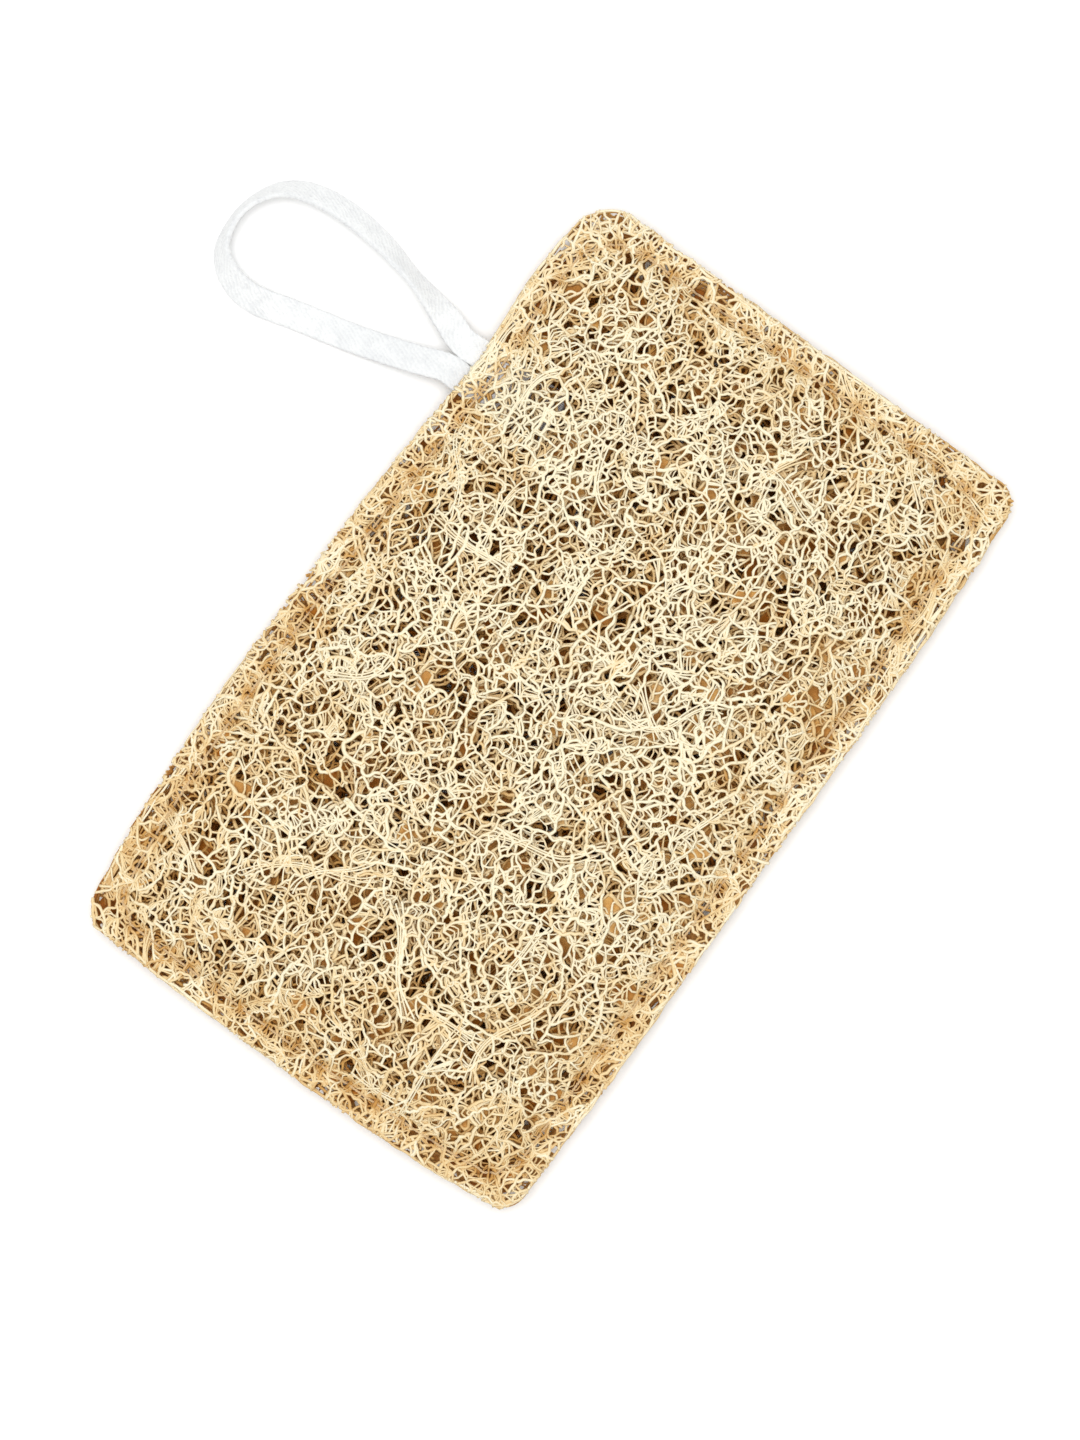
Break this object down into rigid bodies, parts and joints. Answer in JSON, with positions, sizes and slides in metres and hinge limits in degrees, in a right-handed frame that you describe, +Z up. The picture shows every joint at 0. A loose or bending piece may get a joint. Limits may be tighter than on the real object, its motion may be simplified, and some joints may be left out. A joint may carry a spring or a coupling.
{
  "type": "loofah scrubbing pad",
  "caption": "Flat rectangular loofah scrubbing pad, two luffa panels lockstitched round the edge, with a cotton tape hanging loop at one long side.",
  "frame": {"origin": "middle of the pad's underside, in the box of the pad without its hanging loop", "axes": "+Z up, out of the front panel; +Y along the pad's length, towards the end near the hanging loop; the loop leaves the -X side"},
  "size_m": [0.1306, 0.144, 0.0149],
  "materials": {
    "luffa_front": "matte",
    "luffa_back": "matte",
    "sewing_thread": "satin",
    "cotton_tape": "matte"
  },
  "bodies": {
    "pad": {"front_panel": "luffa_front", "back_panel": "luffa_back", "needle_thread": "sewing_thread", "bobbin_thread": "sewing_thread", "loop_end_upper": "cotton_tape", "loop_end_lower": "cotton_tape"},
    "loop": {"hanging_loop": "cotton_tape"}
  },
  "joints": [
    {"name": "loop_fold", "type": "hinge", "parent": "pad", "child": "loop", "pos_m": [-0.0443, 0.0375, 0.004], "axis": [0, 1, 0], "range_deg": [-120, 135]}
  ]
}
